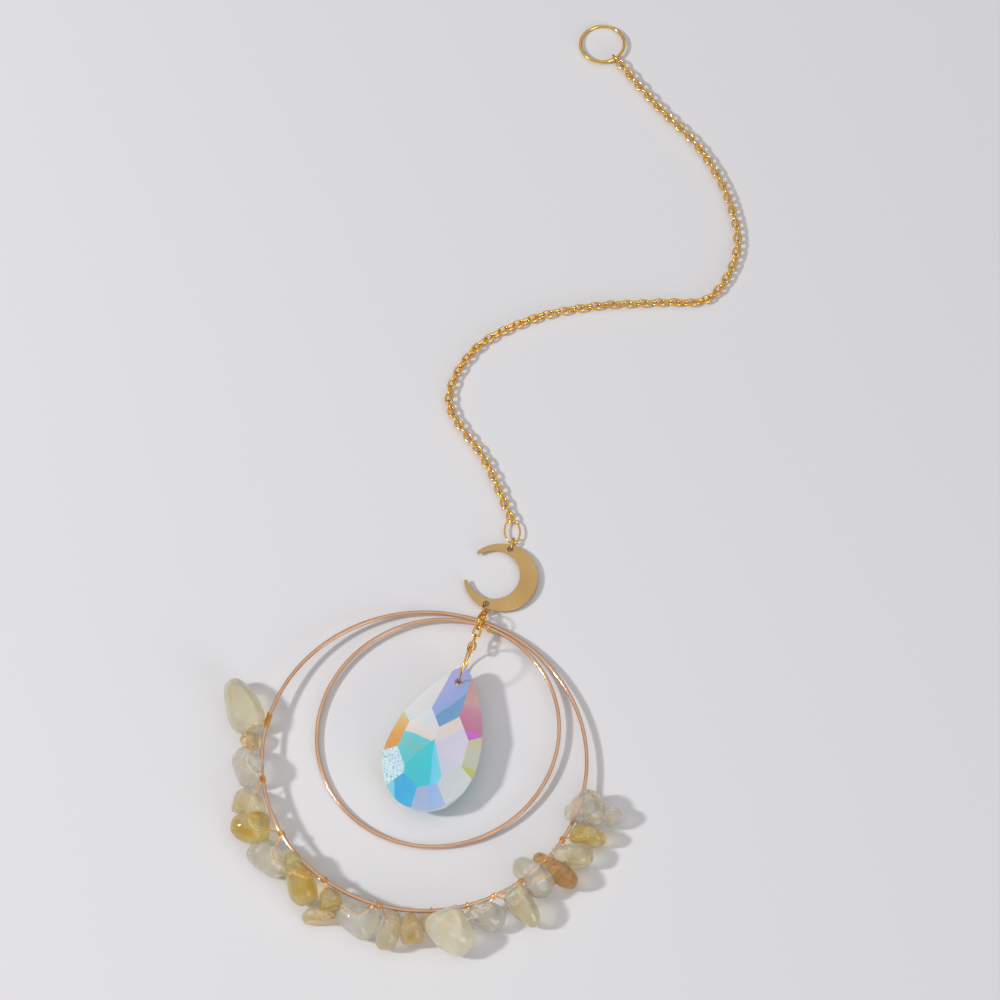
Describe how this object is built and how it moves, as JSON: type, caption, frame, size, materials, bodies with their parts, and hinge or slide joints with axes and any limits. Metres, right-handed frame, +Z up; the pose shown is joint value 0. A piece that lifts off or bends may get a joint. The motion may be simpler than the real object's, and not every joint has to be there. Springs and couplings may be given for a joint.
{
  "type": "crystal suncatcher",
  "caption": "Hanging crystal suncatcher laid flat: faceted teardrop prism inside brass hoops wired with citrine chips, under a brass crescent on a fine chain with a hanging ring.",
  "frame": {"origin": "under the middle of the part's bounding box, on the surface that it lies on", "axes": "+Z up from the surface, +Y from the hoops along the chain to the hanging ring, +X to the right as seen from the hoops' side"},
  "size_m": [0.1328, 0.267, 0.012],
  "materials": {
    "gold": "polished gold plating",
    "wrap_gold": "polished",
    "hoop_brass": "polished, warm copper tone",
    "crescent_brass": "matt, raw",
    "crystal_glass": "cut and polished, iridescent coat",
    "citrine": "tumbled, polished"
  },
  "bodies": {
    "root": {"hanging_ring": "gold", "chain_run_01": "gold", "chain_run_02": "gold", "chain_run_03": "gold", "chain_run_04": "gold", "chain_run_05": "gold", "chain_run_06": "gold", "chain_run_07": "gold", "chain_run_08": "gold", "chain_run_09": "gold", "chain_run_10": "gold", "chain_run_11": "gold", "chain_end_ring": "gold", "crescent_link": "gold", "crescent": "crescent_brass", "hoop_jump_ring": "gold", "drop_chain": "gold", "crystal_jump_ring": "gold", "outer_hoop": "hoop_brass", "inner_hoop": "hoop_brass", "crystal": "crystal_glass", "citrine_chip_01": "citrine", "citrine_chip_02": "citrine", "citrine_chip_03": "citrine", "citrine_chip_04": "citrine", "citrine_chip_05": "citrine", "citrine_chip_06": "citrine", "citrine_chip_07": "citrine", "citrine_chip_08": "citrine", "citrine_chip_09": "citrine", "citrine_chip_10": "citrine", "citrine_chip_11": "citrine", "citrine_chip_12": "citrine", "citrine_chip_13": "citrine", "citrine_chip_14": "citrine", "citrine_chip_15": "citrine", "citrine_chip_16": "citrine", "citrine_chip_17": "citrine", "citrine_chip_18": "citrine", "citrine_chip_19": "citrine", "citrine_chip_20": "citrine", "citrine_chip_21": "citrine", "wrap_wire": "wrap_gold"}
  },
  "joints": []
}
